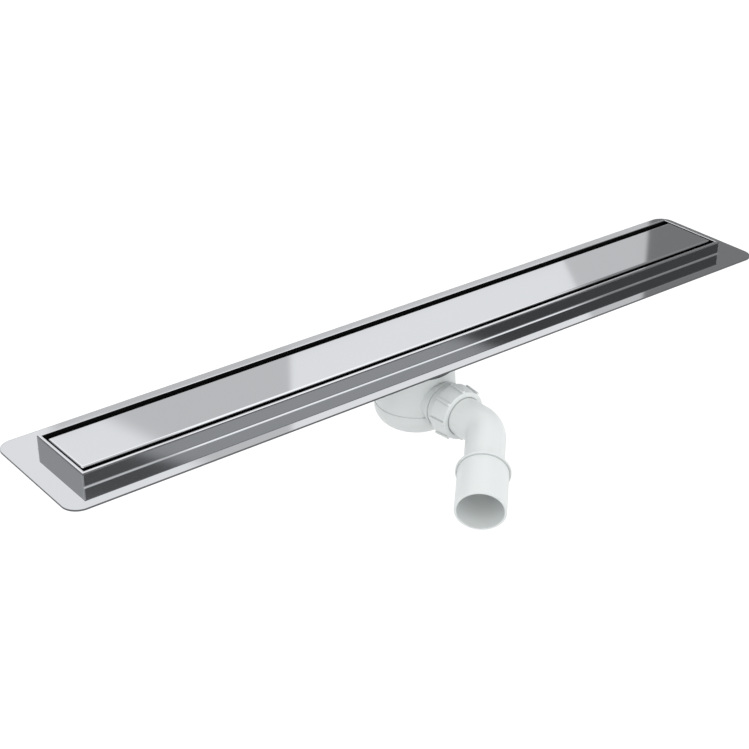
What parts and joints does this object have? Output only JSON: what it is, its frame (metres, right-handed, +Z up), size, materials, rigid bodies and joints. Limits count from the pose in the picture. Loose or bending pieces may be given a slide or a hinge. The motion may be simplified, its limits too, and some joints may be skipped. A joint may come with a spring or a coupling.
{
  "type": "linear shower drain",
  "caption": "Long stainless shower channel with a sealing flange and a solid lift-out cover, over a plastic trap with a union, a bend and a pipe sleeve.",
  "frame": {"origin": "middle of the channel, in the plane of the flange's underside, where it lies on the floor bed", "axes": "+X along the channel, -Y towards the side that the outlet leaves by, +Z up"},
  "size_m": [0.866, 0.2794, 0.1171],
  "materials": {
    "polished_stainless": "mirror polished",
    "white_plastic": "satin moulded",
    "grey_plastic": "moulded",
    "dark_rubber": "matt"
  },
  "bodies": {
    "root": {"channel_trough": "polished_stainless", "cone_seal": "dark_rubber", "cover_plate": "polished_stainless", "cover_support_1": "polished_stainless", "cover_support_2": "polished_stainless", "cover_support_3": "polished_stainless", "cover_support_4": "polished_stainless", "cup_oring": "dark_rubber", "dip_tube": "grey_plastic", "dip_tube_oring": "dark_rubber", "end_strip_left": "polished_stainless", "end_strip_right": "polished_stainless", "flange_frame": "polished_stainless", "floor_gasket": "dark_rubber", "friction_washer": "grey_plastic", "hair_strainer": "grey_plastic", "outlet_bend": "white_plastic", "outlet_sleeve": "white_plastic", "sleeve_oring": "dark_rubber", "support_pad_1_front": "dark_rubber", "support_pad_1_rear": "dark_rubber", "support_pad_2_front": "dark_rubber", "support_pad_2_rear": "dark_rubber", "support_pad_3_front": "dark_rubber", "support_pad_3_rear": "dark_rubber", "support_pad_4_front": "dark_rubber", "support_pad_4_rear": "dark_rubber", "trap_body": "white_plastic", "trap_cup": "white_plastic", "trap_gasket": "dark_rubber", "union_nut": "white_plastic", "waste_flange": "white_plastic"}
  },
  "joints": []
}
